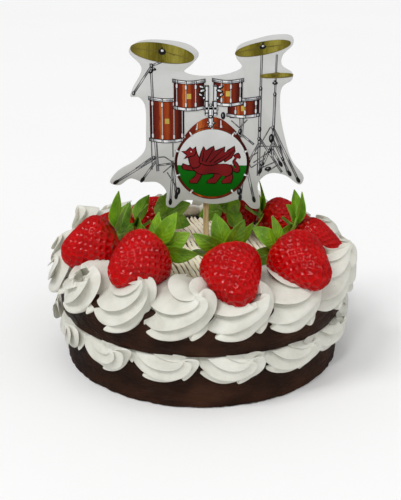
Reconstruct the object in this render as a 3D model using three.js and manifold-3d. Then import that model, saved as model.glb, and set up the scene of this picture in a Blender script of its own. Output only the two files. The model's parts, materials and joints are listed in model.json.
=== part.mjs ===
// A two-layer chocolate cake with piped cream, strawberries and a drum kit cake topper.
// Millimetres, +Z up. The origin is the middle of the underside and -Y is the front.
import * as THREE from 'three';
import { mergeVertices } from 'three/addons/utils/BufferGeometryUtils.js';
import Module from 'manifold-3d';

const wasm = await Module();
wasm.setup();

// ---- driving dimensions --------------------------------------------------------------

const GAP = 0.3;                  // space kept between pieces that touch
const ROUND_SIDES = 44;           // facets round a cake layer
const SMALLEST = 0.12;            // detail finer than this is merged away after a cut

const LOWER = { radius: 100, bottom: 0, top: 30 };
const FILLING = { radius: 98, bottom: 30 + GAP, top: 38 - GAP };
const UPPER = { radius: 102.4, bottom: 38, top: 68 };
const EDGE_ROUND = 2.5;           // the worn corner of each chocolate layer

const TOP_CREAM = { radius: 76, bottom: 68 + GAP, valley: 70.2, crest: 72.4 };
const RIDGE_PITCH = 5;            // one combed ridge to the next
const RIDGE_TURN = 17;            // degrees that the ridges lean from straight ahead

// Rings of piped swirls: where their middles lie, how far they lean out from upright, their
// size, how much they are flattened, and the heights that they stay between.
const ROSETTE = {
  count: 16, first: 12.5, reach: 90.5, height: 67.5, tilt: 39, radius: 25, crown: 18, depth: 14,
  squash: 1, low: 42, high: 100, seed: 5,
};
const RUFFLE = {
  count: 14, first: 11.3, reach: 96, height: 35, tilt: 74, radius: 24, crown: 10, depth: 6,
  squash: 0.78, low: 2, high: 39.6, seed: 3,
};
// A swirl's petals, how far they turn and where the points along each petal lie, up to its lip.
const SWIRL = { petals: 6, sweep: 115, along: [0, 0.5, 0.95] };
// A swirl from its skirt to its crown: the share of its radius, the share of its crown's
// height, and how deep each petal is tucked in under the lip before it.
const SWIRL_RINGS = [[1, 0, 0.02], [0.92, 0.42, 0.24], [0.68, 0.82, 0.26], [0.3, 1, 0.26]];
// How much one piped piece differs from the next: shares of its size, and degrees of tilt.
const UNEVEN = { radius: 0.05, crown: 0.1, tilt: 1.5 };

const STICK = { radius: 2, x: 3, bottom: 42, top: 190, bore: 2.3, sides: 12 };
const CARD = { thickness: 2, samples: 80 };

// A berry's place is measured at its waist. Waist, widest and blunt are shares of its length.
const BERRY = { rings: 6, sides: 10, waist: 0.42, widest: 0.3, blunt: 0.86, taper: 0.68 };
const LEAF = { width: 13.5, thickness: 0.8, fold: 0.22, curl: 0.2, root: 2.4 };
const LEAF_LEAN = [12, 21];       // degrees back from the berry, by turns
const LEAF_SET = [0.5, 0.85];     // how far behind the hub's face a leaf starts, by turns
const HUB = { radius: 3.4, thickness: 2.4, sides: 6 };
const STEM = { radius: 1.3, sides: 5, length: 15, steps: 2 };

// Each strawberry: the direction and distance of its waist from the middle of the cake, its
// height, the way its tip points, how far the tip dips, its size, and where its leaves point
// (degrees from upright, positive to the right of someone looking at the tip from behind).
const BERRIES = [
  { at: 13, reach: 86.5, height: 88.6, turn: 15, dip: 27, length: 43, width: 40, stem: 10,
    leaves: [[-62, 22], [-14, 24], [34, 22], [66, 25], [112, 24], [-122, 22]] },
  { at: 44, reach: 92, height: 89.3, turn: 33, dip: 9, length: 46, width: 39, stem: -40,
    leaves: [[-50, 24], [-5, 20], [48, 22], [100, 22], [-118, 22]] },
  { at: 80, reach: 82, height: 84.4, turn: 80, dip: 32, length: 42, width: 29, stem: -60,
    leaves: [[-100, 24], [-50, 27], [-8, 25], [34, 24]] },
  { at: 111, reach: 64, height: 87, turn: 102, dip: 18, length: 41, width: 32, stem: 60,
    leaves: [[-100, 22], [-46, 21], [-8, 25], [28, 23]] },
  { at: 150, reach: 52, height: 90.4, turn: 152, dip: 10, length: 42, width: 38, stem: 20,
    leaves: [[-120, 20], [-62, 20], [0, 22], [58, 20], [112, 18]] },
  { at: -131, reach: 50, height: 87.4, turn: -140, dip: 10, length: 37, width: 29, stem: -30,
    leaves: [[-118, 18], [-62, 19], [-12, 22], [34, 24], [124, 20]] },
  { at: -90, reach: 64, height: 87.4, turn: -96, dip: 10, length: 40, width: 29, stem: 30,
    leaves: [[-44, 24], [34, 25], [76, 21], [118, 18]] },
  { at: -63.5, reach: 81.5, height: 89.4, turn: -86, dip: 22, length: 41, width: 40, stem: 50,
    leaves: [[-96, 22], [-52, 24], [-14, 28], [26, 28]] },
  { at: -30, reach: 81, height: 90.9, turn: -40, dip: 12, length: 42, width: 40, stem: 60,
    leaves: [[-68, 22], [-20, 22], [24, 27], [60, 22], [97, 25]] },
];

// The card's edge, clockwise from the left cymbal, as (x, z).
const CARD_EDGE = [
  [-49, 215], [-43, 221], [-27, 222.5], [-8, 219], [-2, 213], [-7, 206], [-12, 201.5],
  [-6, 199], [8, 198.5], [20, 200.5], [27, 204.5], [23, 211], [24, 218], [36, 223], [50, 226],
  [60, 225], [61, 220], [54, 212], [54, 205.5], [61, 200.5], [61, 196], [54.5, 191],
  [53.5, 176], [57, 157], [63, 139], [71.5, 127], [69, 122], [58, 129], [47, 130],
  [39.5, 123], [41, 111], [40.5, 104.5], [35.5, 104.5], [28, 111], [17, 108.6], [6, 107.7],
  [-6, 110.4], [-14, 110], [-20, 105], [-25, 106.5], [-25, 117], [-31, 123.5], [-42, 124],
  [-50, 126.5], [-58, 121.6], [-64.5, 123.5], [-59, 131.5], [-46, 139.5], [-39.5, 147],
  [-38.5, 160], [-39, 179], [-43, 184], [-48.5, 184.5], [-47, 190], [-40.5, 204],
];

// ---- materials -----------------------------------------------------------------------

const chocolate = new THREE.MeshStandardMaterial({ color: 0x2a150b, roughness: 0.45 });
const cream = new THREE.MeshStandardMaterial({ color: 0xe9e7e0, roughness: 0.55 });
const ivoryCream = new THREE.MeshStandardMaterial({ color: 0xddd0b4, roughness: 0.6 });
const strawberryRed = new THREE.MeshStandardMaterial({ color: 0xc00a18, roughness: 0.25 });
const leafGreen = new THREE.MeshStandardMaterial({ color: 0x3f7d16, roughness: 0.4 });
const cardWhite = new THREE.MeshStandardMaterial({ color: 0xe4e4e2, roughness: 0.6 });
const paleWood = new THREE.MeshStandardMaterial({ color: 0xc9a66b, roughness: 0.7 });

// ---- helpers -------------------------------------------------------------------------

const radians = THREE.MathUtils.degToRad;

/** A repeatable source of numbers from 0 to 1. */
function seededRandom(seed) {
  let state = seed;
  return () => {
    state = (Math.imul(state, 1664525) + 1013904223) >>> 0;
    return state / 2 ** 32;
  };
}

/** A number near 1, off by up to the given share. */
function vary(random, share) {
  return 1 + share * (2 * random() - 1);
}

/** The solid inside a closed geometry, for cutting and joining. */
function toSolid(geometry) {
  const bare = geometry.clone();
  bare.deleteAttribute('normal');
  bare.deleteAttribute('uv');
  const merged = mergeVertices(bare, 1e-4);
  return new wasm.Manifold(new wasm.Mesh({
    numProp: 3,
    vertProperties: new Float32Array(merged.attributes.position.array),
    triVerts: new Uint32Array(merged.index.array),
  }));
}

/** The largest single body of a solid, as a geometry. */
function toGeometry(solid) {
  const bodies = solid.simplify(SMALLEST).decompose();
  const largest = bodies.reduce((a, b) => (b.volume() > a.volume() ? b : a));
  const mesh = largest.getMesh();
  const geometry = new THREE.BufferGeometry();
  geometry.setAttribute('position', new THREE.BufferAttribute(mesh.vertProperties, 3));
  geometry.setIndex(new THREE.BufferAttribute(mesh.triVerts, 1));
  return geometry;
}

/** A closed skin over rings of points, with a pole at each end. */
function skin(rings, startPole, endPole) {
  const points = [...rings.flat(), startPole, endPole];
  const size = rings[0].length;
  const start = points.length - 2;
  const end = points.length - 1;
  const faces = [];
  for (let j = 0; j < size; j += 1) {
    const next = (j + 1) % size;
    faces.push(start, next, j);
    for (let i = 0; i < rings.length - 1; i += 1) {
      const low = i * size;
      const high = low + size;
      faces.push(low + j, low + next, high + next, low + j, high + next, high + j);
    }
    const last = (rings.length - 1) * size;
    faces.push(end, last + j, last + next);
  }
  const geometry = new THREE.BufferGeometry();
  geometry.setFromPoints(points);
  geometry.setIndex(faces);
  return geometry;
}

/** A named mesh. */
function piece(name, geometry, material) {
  const mesh = new THREE.Mesh(geometry, material);
  mesh.name = name;
  return mesh;
}

/** Turns a position round the cake's middle: 0 degrees is the front, positive to the right. */
function turnTo(degrees) {
  return new THREE.Matrix4().makeRotationZ(radians(degrees));
}

/** A cake layer: a disc about the middle with its upper corner worn round. */
function layer({ radius, bottom, top }) {
  const profile = [
    [0, bottom], [radius, bottom], [radius, top - EDGE_ROUND], [radius - EDGE_ROUND, top],
    [0, top],
  ].map(([r, z]) => new THREE.Vector2(r, z));
  return new THREE.LatheGeometry(profile, ROUND_SIDES).rotateX(Math.PI / 2);
}

/** A plain disc about the middle, or the room that a layer needs when it is grown. */
function disc({ radius, bottom, top }, growth = 0) {
  return bar(radius + growth, bottom - growth, top + growth, 0, 0, ROUND_SIDES);
}

/** An upright round bar. */
function bar(radius, bottom, top, x, y, sides) {
  return new THREE.CylinderGeometry(radius, radius, top - bottom, sides)
    .rotateX(Math.PI / 2)
    .translate(x, y, (bottom + top) / 2);
}

/** The slice of the cake that one of several equal neighbours may fill, front and centre. */
function wedge(count, low, high) {
  const half = Math.PI / count;
  const near = UPPER.radius / 3;
  const far = UPPER.radius * 1.4;
  const ease = GAP / 2 / Math.cos(half);
  const outline = new THREE.Shape([
    new THREE.Vector2(-near * Math.tan(half) + ease, -near),
    new THREE.Vector2(-far * Math.tan(half) + ease, -far),
    new THREE.Vector2(far * Math.tan(half) - ease, -far),
    new THREE.Vector2(near * Math.tan(half) - ease, -near),
  ]);
  return new THREE.ExtrudeGeometry(outline, { depth: high - low, bevelEnabled: false })
    .translate(0, 0, low);
}

// ---- piped cream ---------------------------------------------------------------------

/**
 * One swirl from a star nozzle, standing on its own middle with its crown up +Z. Each petal
 * starts tucked in under the lip before it, and the lips sweep inwards to the crown.
 */
function swirl({ radius, crown, depth }, spin) {
  const { petals, sweep, along } = SWIRL;
  const rings = SWIRL_RINGS.map(([share, rise, tuck]) => {
    const ring = [];
    const turned = radians(spin + sweep * (1 - share));
    for (let petal = 0; petal < petals; petal += 1) {
      for (const step of along) {
        const r = radius * share * (1 - tuck * (1 - step) ** 1.4);
        const a = turned + ((petal + step) / petals) * 2 * Math.PI;
        ring.push(new THREE.Vector3(r * Math.cos(a), r * Math.sin(a), rise * crown));
      }
    }
    return ring;
  });
  return skin(rings, new THREE.Vector3(0, 0, -depth), new THREE.Vector3(0, 0, 0.82 * crown));
}

/** A swirl set on the rim at the front, leaning out from the cake. */
function swirlOnRim(spec, spin) {
  return swirl(spec, spin)
    .scale(1, spec.squash, 1)
    .rotateX(radians(spec.tilt))
    .translate(0, -spec.reach, spec.height);
}

/** One swirl for each place round the rim, cut back to what it touches. */
function pipedRing(name, spec, cutters) {
  const random = seededRandom(spec.seed);
  const room = toSolid(wedge(spec.count, spec.low, spec.high));
  const ring = new THREE.Group();
  for (let k = 0; k < spec.count; k += 1) {
    const angle = spec.first + (360 / spec.count) * k;
    const own = {
      ...spec,
      radius: spec.radius * vary(random, UNEVEN.radius),
      crown: spec.crown * vary(random, UNEVEN.crown),
      tilt: spec.tilt + UNEVEN.tilt * (2 * random() - 1),
    };
    const spin = 360 * random();
    let solid = toSolid(swirlOnRim(own, spin)).intersect(room);
    const back = turnTo(-angle);
    for (const cutter of cutters) {
      solid = solid.subtract(toSolid(cutter.clone().applyMatrix4(back)));
    }
    const label = String(k + 1).padStart(2, '0');
    const mesh = piece(`${name}_${label}`, toGeometry(solid), cream);
    mesh.rotation.z = radians(angle);
    ring.add(mesh);
  }
  return ring;
}

/** Cream combed into ridges that run from the back left to the front right. */
function topCream(hole) {
  const { radius, bottom, valley, crest } = TOP_CREAM;
  const ridges = Math.ceil((2 * radius) / RIDGE_PITCH) + 4;
  const wide = ridges * RIDGE_PITCH;
  const profile = new THREE.Shape();
  profile.moveTo(-wide / 2, bottom - 4);
  profile.lineTo(wide / 2, bottom - 4);
  profile.lineTo(wide / 2, valley);
  for (let i = 1; i <= ridges; i += 1) {
    const x = wide / 2 - i * RIDGE_PITCH;
    profile.lineTo(x + RIDGE_PITCH / 2, crest);
    profile.lineTo(x, valley);
  }
  const long = 2.2 * radius;
  const slab = new THREE.ExtrudeGeometry(profile, { depth: long, bevelEnabled: false })
    .translate(0, 0, -long / 2)
    .rotateX(Math.PI / 2)
    .rotateZ(radians(RIDGE_TURN));
  const round = disc({ radius, bottom, top: crest + 2 });
  return toGeometry(toSolid(slab).intersect(toSolid(round)).subtract(toSolid(hole)));
}

// ---- strawberries --------------------------------------------------------------------

/** Where a strawberry lies: local +Z points to its tip and local +Y is its upper side. */
function berryFrame({ at, reach, height, turn, dip }) {
  const yaw = radians(turn);
  const pitch = radians(dip);
  const tip = new THREE.Vector3(
    Math.sin(yaw) * Math.cos(pitch),
    -Math.cos(yaw) * Math.cos(pitch),
    -Math.sin(pitch),
  );
  const side = new THREE.Vector3(Math.cos(yaw), Math.sin(yaw), 0);
  const up = new THREE.Vector3().crossVectors(tip, side);
  const frame = new THREE.Matrix4().makeBasis(side, up, tip);
  return frame.setPosition(
    reach * Math.sin(radians(at)),
    -reach * Math.cos(radians(at)),
    height,
  );
}

/** Half the width of a strawberry at a share of its length, as a share of its full width. */
function berryHalfWidth(share) {
  const { widest, blunt, taper } = BERRY;
  if (share < widest) {
    return 0.5 * Math.sqrt(1 - ((widest - share) / widest) ** 2.2);
  }
  const along = (share - widest) / (1 - widest);
  const rounding = Math.sqrt(1 - Math.max(0, (share - blunt) / (1 - blunt)) ** 2);
  return 0.5 * (1 - taper * along ** 1.5) * rounding;
}

/** A strawberry, grown all round by some clearance where it is used as a cutter. */
function berry({ length, width }, clearance) {
  const rings = [];
  for (let i = 1; i <= BERRY.rings; i += 1) {
    const share = (1 - Math.cos((Math.PI * i) / (BERRY.rings + 1))) / 2;
    const r = width * berryHalfWidth(share) + clearance;
    const z = (share - BERRY.waist) * (length + 2 * clearance);
    const ring = [];
    for (let j = 0; j < BERRY.sides; j += 1) {
      const a = (2 * Math.PI * j) / BERRY.sides;
      ring.push(new THREE.Vector3(r * Math.cos(a), r * Math.sin(a), z));
    }
    rings.push(ring);
  }
  const base = -BERRY.waist * length - clearance;
  const tip = (1 - BERRY.waist) * length + clearance;
  return skin(rings, new THREE.Vector3(0, 0, base), new THREE.Vector3(0, 0, tip));
}

// ---- leaves --------------------------------------------------------------------------

/** A pointed leaf that grows from the origin along +Y, folded at its midrib and curled. */
function leaf(length) {
  const spot = (along, wide) => {
    const half = (LEAF.width / 2) * wide;
    const bend = -LEAF.curl * length * along ** 2;
    return new THREE.Vector3(half, length * along, bend + LEAF.fold * Math.abs(half));
  };
  const [root, tip] = [spot(0, 0), spot(1, 0)];
  const [ribLow, ribHigh] = [spot(0.4, 0), spot(0.74, 0)];
  const [rightLow, rightHigh] = [spot(0.38, 0.96), spot(0.72, 0.78)];
  const [leftLow, leftHigh] = [spot(0.38, -0.96), spot(0.72, -0.78)];
  const front = [root, rightLow, rightHigh, tip, leftHigh, leftLow, ribLow, ribHigh];
  const back = front.map((p) => p.clone().setZ(p.z - LEAF.thickness));
  const size = front.length;
  const halves = [
    [0, 1, 6], [1, 2, 6], [2, 7, 6], [2, 3, 7], [3, 4, 7], [4, 6, 7], [4, 5, 6], [5, 0, 6],
  ];
  const faces = halves.flatMap(([p, q, r]) => [p, q, r, size + p, size + r, size + q]);
  const rim = [0, 1, 2, 3, 4, 5];
  rim.forEach((p, i) => {
    const q = rim[(i + 1) % rim.length];
    faces.push(p, size + p, q, q, size + p, size + q);
  });
  const geometry = new THREE.BufferGeometry();
  geometry.setFromPoints([...front, ...back]);
  geometry.setIndex(faces);
  return geometry;
}

/** The short stalk, which leaves the hub backwards and bends up and to one side. */
function stalk(lean) {
  const sideways = Math.sin(radians(lean));
  const upwards = Math.cos(radians(lean));
  const reach = STEM.length;
  const path = new THREE.CatmullRomCurve3([
    new THREE.Vector3(0, 0, -0.6),
    new THREE.Vector3(0.1 * reach * sideways, 0.1 * reach * upwards, -0.4 * reach),
    new THREE.Vector3(0.45 * reach * sideways, 0.45 * reach * upwards, -0.75 * reach),
  ]);
  const section = new THREE.Shape(new THREE.Path()
    .absarc(0, 0, STEM.radius, 0, 2 * Math.PI, false)
    .getPoints(STEM.sides)
    .slice(0, STEM.sides));
  return new THREE.ExtrudeGeometry(section, {
    steps: STEM.steps,
    extrudePath: path,
    bevelEnabled: false,
  });
}

/** The leaves and stalk behind one strawberry, joined into one body in the berry's frame. */
function leafCrown({ length, leaves, stem }) {
  const base = -BERRY.waist * length - GAP;
  const hub = new THREE.CylinderGeometry(HUB.radius, HUB.radius, HUB.thickness, HUB.sides)
    .rotateX(Math.PI / 2)
    .translate(0, 0, -HUB.thickness / 2);
  let solid = toSolid(hub).add(toSolid(stalk(stem)));
  leaves.forEach(([direction, reach], i) => {
    const blade = leaf(reach)
      .translate(0, LEAF.root, 0)
      .rotateX(-radians(LEAF_LEAN[i % 2]))
      .rotateZ(-radians(direction))
      .translate(0, 0, -LEAF_SET[i % 2]);
    solid = solid.add(toSolid(blade));
  });
  return toGeometry(solid).translate(0, 0, base);
}

// ---- topper --------------------------------------------------------------------------

/** The printed card, cut out along a smooth edge, standing upright across the cake. */
function topperCard() {
  const edge = new THREE.CatmullRomCurve3(
    CARD_EDGE.map(([x, z]) => new THREE.Vector3(x, z, 0)),
    true,
    'centripetal',
  );
  const outline = new THREE.Shape(edge.getSpacedPoints(CARD.samples)
    .slice(0, CARD.samples)
    .map((p) => new THREE.Vector2(p.x, p.y)));
  return new THREE.ExtrudeGeometry(outline, { depth: CARD.thickness, bevelEnabled: false })
    .translate(0, 0, -CARD.thickness / 2)
    .rotateX(Math.PI / 2);
}

// ---- the cake ------------------------------------------------------------------------

const cake = new THREE.Group();

const stickY = CARD.thickness / 2 + GAP + STICK.radius;
const stickHole = bar(STICK.bore, STICK.bottom - GAP, 100, STICK.x, stickY, STICK.sides);

const berryFrames = BERRIES.map(berryFrame);
const berryCutters = BERRIES.map((spec, i) => berry(spec, GAP).applyMatrix4(berryFrames[i]));

cake.add(piece('lower_layer', layer(LOWER), chocolate));
cake.add(piece('filling', disc(FILLING), cream));
cake.add(piece(
  'upper_layer',
  toGeometry(toSolid(layer(UPPER)).subtract(toSolid(stickHole))),
  chocolate,
));
cake.add(piece('top_cream', topCream(stickHole), ivoryCream));

const layerRooms = [LOWER, FILLING, UPPER].map((size) => disc(size, GAP));
const topRoom = disc({ ...TOP_CREAM, top: TOP_CREAM.crest }, GAP);
cake.add(pipedRing('ruffle', RUFFLE, layerRooms));
cake.add(pipedRing('rosette', ROSETTE, [...layerRooms, topRoom, ...berryCutters]));

BERRIES.forEach((spec, i) => {
  const place = new THREE.Group();
  place.applyMatrix4(berryFrames[i]);
  place.add(piece(`strawberry_${i + 1}`, berry(spec, 0), strawberryRed));
  place.add(piece(`leaf_crown_${i + 1}`, leafCrown(spec), leafGreen));
  cake.add(place);
});

cake.add(piece('topper_card', topperCard(), cardWhite));
cake.add(piece(
  'topper_stick',
  bar(STICK.radius, STICK.bottom, STICK.top, STICK.x, stickY, STICK.sides),
  paleWood,
));

export default cake;
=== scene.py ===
"""A drum kit cake: chocolate layers, piped cream, strawberries and a printed card on a stick."""
import json
import math

import bmesh
import bpy
from mathutils import Matrix, Vector, kdtree, noise

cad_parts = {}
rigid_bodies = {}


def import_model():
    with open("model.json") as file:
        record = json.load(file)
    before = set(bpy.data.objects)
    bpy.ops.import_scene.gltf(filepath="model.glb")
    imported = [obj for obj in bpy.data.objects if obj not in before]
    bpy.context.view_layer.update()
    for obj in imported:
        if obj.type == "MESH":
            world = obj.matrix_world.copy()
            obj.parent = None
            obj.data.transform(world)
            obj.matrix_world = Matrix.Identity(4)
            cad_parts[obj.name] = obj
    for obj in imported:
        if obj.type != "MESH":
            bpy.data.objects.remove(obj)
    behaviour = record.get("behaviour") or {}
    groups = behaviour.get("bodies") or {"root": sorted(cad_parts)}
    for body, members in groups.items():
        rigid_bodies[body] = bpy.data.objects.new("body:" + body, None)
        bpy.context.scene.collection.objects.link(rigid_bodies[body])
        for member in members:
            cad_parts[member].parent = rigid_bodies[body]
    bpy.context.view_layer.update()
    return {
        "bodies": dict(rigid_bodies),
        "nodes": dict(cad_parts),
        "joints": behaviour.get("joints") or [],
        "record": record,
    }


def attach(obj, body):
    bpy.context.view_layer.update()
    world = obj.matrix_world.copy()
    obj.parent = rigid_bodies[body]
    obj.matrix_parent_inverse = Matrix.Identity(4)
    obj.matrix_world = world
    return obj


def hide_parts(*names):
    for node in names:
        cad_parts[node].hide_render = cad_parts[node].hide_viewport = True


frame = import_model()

MM = 0.001


# ---- camera, light and floor ------------------------------------------------------------

# What the camera looks at (mm), how steeply (degrees), from how far (m), and its lens (mm).
CAMERA = dict(aim=(-0.9, 0, 72.4), down=21.06, distance=0.7, lens=69.81, film=36, near=0.01)
# Each lamp: the side it shines from, its width in degrees and its strength.
LAMPS = {"key lamp": ((-0.55, -0.4, 0.9), 20, 0.95),
         "small lamp": ((-0.2, -0.65, 0.9), 10, 0.50),
         "fill lamp": ((0.7, -0.4, 0.7), 50, 0.26)}
# How bright the plain room is: as it lights things, mirrored in them, and seen behind them.
ROOM = dict(lights=0.62, mirrored=0.16, seen=0.94)
# The floor's width and how far it lies under the cake (m), and how bright it mirrors.
FLOOR = dict(size=40, drop=0.0004, mirrored=(0.2, 0.2, 0.2, 1))


def set_camera():
    """The camera stands a little above the cake and looks slightly down at it."""
    down = math.radians(CAMERA["down"])
    data = bpy.data.cameras.new("camera")
    data.sensor_width, data.lens, data.clip_start = (
        CAMERA["film"], CAMERA["lens"], CAMERA["near"])
    camera = bpy.data.objects.new("camera", data)
    back = Vector((0, -math.cos(down), math.sin(down)))
    camera.location = Vector(CAMERA["aim"]) * MM + back * CAMERA["distance"]
    camera.rotation_euler = (math.radians(90) - down, 0, 0)
    bpy.context.scene.collection.objects.link(camera)
    bpy.context.scene.camera = camera


def set_studio():
    """A bright plain room, dim where it mirrors in glossy things, and three soft lamps."""
    world = bpy.data.worlds.new("studio")
    world.use_nodes = True
    tree = world.node_tree
    rays = node(tree, "LightPath").outputs
    light = ROOM["lights"]
    for ray, bright in (("Is Glossy Ray", ROOM["mirrored"]), ("Is Camera Ray", ROOM["seen"])):
        light = sum_of(tree, "MULTIPLY_ADD", rays[ray], bright - ROOM["lights"], light)
    connect(tree, tree.nodes["Background"], {"Color": (1, 1, 1, 1), "Strength": light})
    bpy.context.scene.world = world
    bpy.context.scene.view_settings.view_transform = "Standard"
    for name, (side, softness, strength) in LAMPS.items():
        data = bpy.data.lights.new(name, "SUN")
        data.angle, data.energy = math.radians(softness), strength
        lamp = bpy.data.objects.new(name, data)
        lamp.location = side
        lamp.rotation_euler = (-Vector(side)).to_track_quat("-Z", "Y").to_euler()
        bpy.context.scene.collection.objects.link(lamp)


def lay_floor():
    """A pale floor, dim where it mirrors in glossy things."""
    let_go()
    bpy.ops.mesh.primitive_plane_add(size=FLOOR["size"], location=(0, 0, -FLOOR["drop"]))
    floor = bpy.context.active_object
    floor.name = "floor"
    pale = Finish("pale floor", (0.96, 0.96, 0.96), 0.7, (0.4, 0.05))
    color = pale.ramp(pale.blotches, (0.3, (0.96, 0.96, 0.96)), (0.7, (0.975, 0.975, 0.975)))
    mirrored = pale.add("LightPath").outputs["Is Glossy Ray"]
    pale.connect({"Base Color": pale.blend(mirrored, color, FLOOR["mirrored"])})
    paint(floor, pale.material)


# ---- choosing and shaping ---------------------------------------------------------------

def let_go():
    """Leaves edit mode and selects nothing."""
    if bpy.context.mode != "OBJECT":
        bpy.ops.object.mode_set(mode="OBJECT")
    bpy.ops.object.select_all(action="DESELECT")


def hold(*pieces):
    """Selects these pieces alone. The first is the active one."""
    let_go()
    for piece in pieces:
        piece.select_set(True)
    bpy.context.view_layer.objects.active = pieces[0]


def throw_away(*pieces):
    """Deletes models that have served to be copied."""
    hold(*pieces)
    bpy.ops.object.delete()


def start(name, height=0.0):
    """Names the flat or round primitive just added and opens it, all chosen, at this height."""
    piece = bpy.context.active_object
    piece.name = piece.data.name = name
    bpy.ops.object.mode_set(mode="EDIT")
    bpy.ops.mesh.select_all(action="SELECT")
    if height:
        move_points(lambda co, i: (co.x, co.y, height))
    return piece


def choose(test):
    """Selects the points of the open mesh whose place passes the test."""
    bpy.ops.mesh.select_mode(type="VERT")
    bpy.ops.mesh.select_all(action="DESELECT")
    mesh = bmesh.from_edit_mesh(bpy.context.edit_object.data)
    for point in mesh.verts:
        if test(point.co):
            point.select_set(True)
    mesh.select_flush_mode()
    bmesh.update_edit_mesh(bpy.context.edit_object.data)


def choose_height(z, slack=1e-7):
    """Selects the points that lie at one height."""
    choose(lambda co: abs(co.z - z) < slack)


def move_points(place, chosen=False):
    """Puts each point of the open mesh, or each chosen one, at place(old place, its number)."""
    mesh = bmesh.from_edit_mesh(bpy.context.edit_object.data)
    points = [point for point in mesh.verts if point.select or not chosen]
    for i, point in enumerate(points):
        point.co = place(point.co, i)
    bmesh.update_edit_mesh(bpy.context.edit_object.data)


def swell(share, centre=(0, 0, 0)):
    """Widens what is chosen round an upright axis."""
    bpy.ops.transform.resize(value=(share, share, 1), center_override=centre)


def draw_out(x=0.0, y=0.0, z=0.0):
    bpy.ops.mesh.extrude_region_move(TRANSFORM_OT_translate={"value": (x, y, z)})


def close_to_point(z):
    """Draws the chosen ring out to one point on the axis, at this height."""
    draw_out()
    bpy.ops.mesh.merge(type="CENTER")
    move_points(lambda co, i: (0, 0, z), chosen=True)


def close_up(piece):
    """Ends the shaping: doubles merged, faces turned outwards."""
    bpy.ops.mesh.select_mode(type="VERT")
    bpy.ops.mesh.select_all(action="SELECT")
    bpy.ops.mesh.remove_doubles(threshold=1e-6)
    bpy.ops.mesh.normals_make_consistent(inside=False)
    bpy.ops.mesh.select_all(action="DESELECT")
    bpy.ops.object.mode_set(mode="OBJECT")
    return piece


def smooth(piece, degrees=None):
    """Smooth shading, all over or up to this angle between faces."""
    hold(piece)
    if degrees is None:
        bpy.ops.object.shade_smooth()
    else:
        bpy.ops.object.shade_smooth_by_angle(angle=math.radians(degrees))
    return piece


def alter(piece, kind, **settings):
    """Adds one modifier to the piece and applies it."""
    hold(piece)
    modifier = piece.modifiers.new(kind.lower(), kind)
    for key, value in settings.items():
        setattr(modifier, key, value)
    bpy.ops.object.modifier_apply(modifier=modifier.name)
    return piece


def subdivide(piece, levels):
    return alter(piece, "SUBSURF", levels=levels, render_levels=levels)


def lump(piece, size, strength):
    """Makes the surface uneven, with lumps of this size."""
    texture = bpy.data.textures.new("lumps", "CLOUDS")
    texture.noise_scale = size
    return alter(piece, "DISPLACE", texture=texture, texture_coords="LOCAL",
                 strength=strength, mid_level=0.5)


def copy_of(piece, name):
    """A copy with its own mesh."""
    hold(piece)
    bpy.ops.object.duplicate(linked=False)
    twin = bpy.context.active_object
    twin.name = twin.data.name = name
    return twin


def settle(piece, turn=None, place=None, scale=None):
    """Turns (degrees), moves and scales the piece, all of it in its mesh."""
    if turn is not None:
        piece.rotation_euler = [math.radians(degrees) for degrees in turn]
    if place is not None:
        piece.location = Vector(place) * MM
    if scale is not None:
        piece.scale = Vector(scale) * MM
    hold(piece)
    bpy.ops.object.transform_apply(location=True, rotation=True, scale=True)
    return piece


def join(name, pieces):
    """One piece made of several."""
    hold(*pieces)
    bpy.ops.object.join()
    whole = bpy.context.active_object
    whole.name = whole.data.name = name
    return whole


def paint(piece, finish):
    piece.data.materials.append(finish)
    return piece


def map_out(piece, place):
    """Lays the points of the piece out on its flat map, at place(number of the point)."""
    flat_map = piece.data.uv_layers.active or piece.data.uv_layers.new(name="UVMap")
    for loop in piece.data.loops:
        flat_map.data[loop.index].uv = place(loop.vertex_index)


def seeded_random(seed):
    """A repeatable source of numbers from 0 to 1."""
    state = seed

    def draw():
        nonlocal state
        state = (state * 1664525 + 1013904223) & 0xFFFFFFFF
        return state / 2 ** 32
    return draw


def vary(draw, share, middle=1):
    """A number that strays from its middle by up to this much."""
    return middle + share * (2 * draw() - 1)


def uneven_at(x, y, z=0.0):
    """Smooth noise, about from -1 to 1."""
    return noise.noise(Vector((x, y, z)))


# ---- finishes ---------------------------------------------------------------------------

def connect(tree, made, values):
    """Sets the inputs of a node. A socket is linked, anything else is a constant."""
    for key, value in values.items():
        if isinstance(value, bpy.types.NodeSocket):
            tree.links.new(value, made.inputs[key])
        else:
            made.inputs[key].default_value = value


def node(tree, kind, values=None, **settings):
    made = tree.nodes.new("ShaderNode" + kind)
    for key, value in settings.items():
        setattr(made, key, value)
    connect(tree, made, values or {})
    return made


def sum_of(tree, operation, *values):
    """The result of one sum on sockets or numbers."""
    return node(tree, "Math", dict(enumerate(values)), operation=operation).outputs["Value"]


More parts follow.
